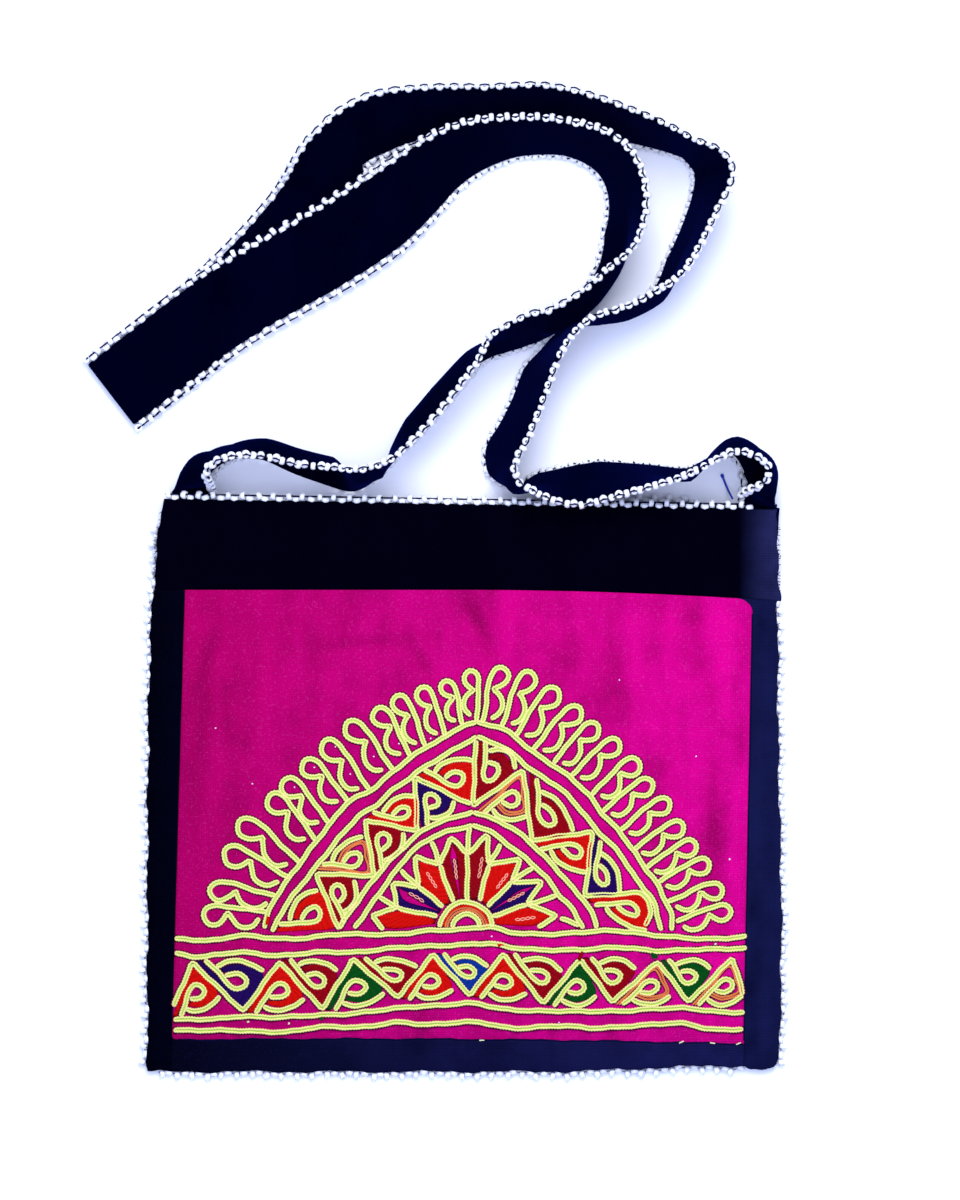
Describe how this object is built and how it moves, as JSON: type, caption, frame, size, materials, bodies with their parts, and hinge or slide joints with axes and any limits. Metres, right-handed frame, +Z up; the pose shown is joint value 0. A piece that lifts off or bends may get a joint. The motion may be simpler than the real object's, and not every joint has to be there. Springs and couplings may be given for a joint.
{
  "type": "embroidered shoulder purse",
  "caption": "Flat cotton shoulder purse lying face up: open pouch with an embroidered panel in a navy frame, a long strap sewn into its corners and white seed-bead edging.",
  "frame": {"origin": "centre of the back panel's underside, which lies on the surface", "axes": "+X to the right of the embroidered front, +Y towards the mouth and the strap, +Z up out of the front"},
  "size_m": [0.2954, 0.4196, 0.0392],
  "materials": {
    "navy_cotton": "plain woven cotton, matt",
    "magenta_cotton": "plain woven cotton with chain-stitch embroidery",
    "white_beads": "opaque glossy glass seed beads"
  },
  "bodies": {
    "root": {"back_panel": "navy_cotton", "front_panel": "magenta_cotton", "top_band": "navy_cotton", "left_border": "navy_cotton", "right_border": "navy_cotton", "bottom_border": "navy_cotton", "strap": "navy_cotton", "mouth_beads_front": "white_beads", "mouth_beads_back": "white_beads", "left_side_beads": "white_beads", "right_side_beads": "white_beads", "bottom_beads": "white_beads", "strap_beads_a_upper": "white_beads", "strap_beads_a_under": "white_beads", "strap_beads_b_upper": "white_beads", "strap_beads_b_under": "white_beads"}
  },
  "joints": []
}
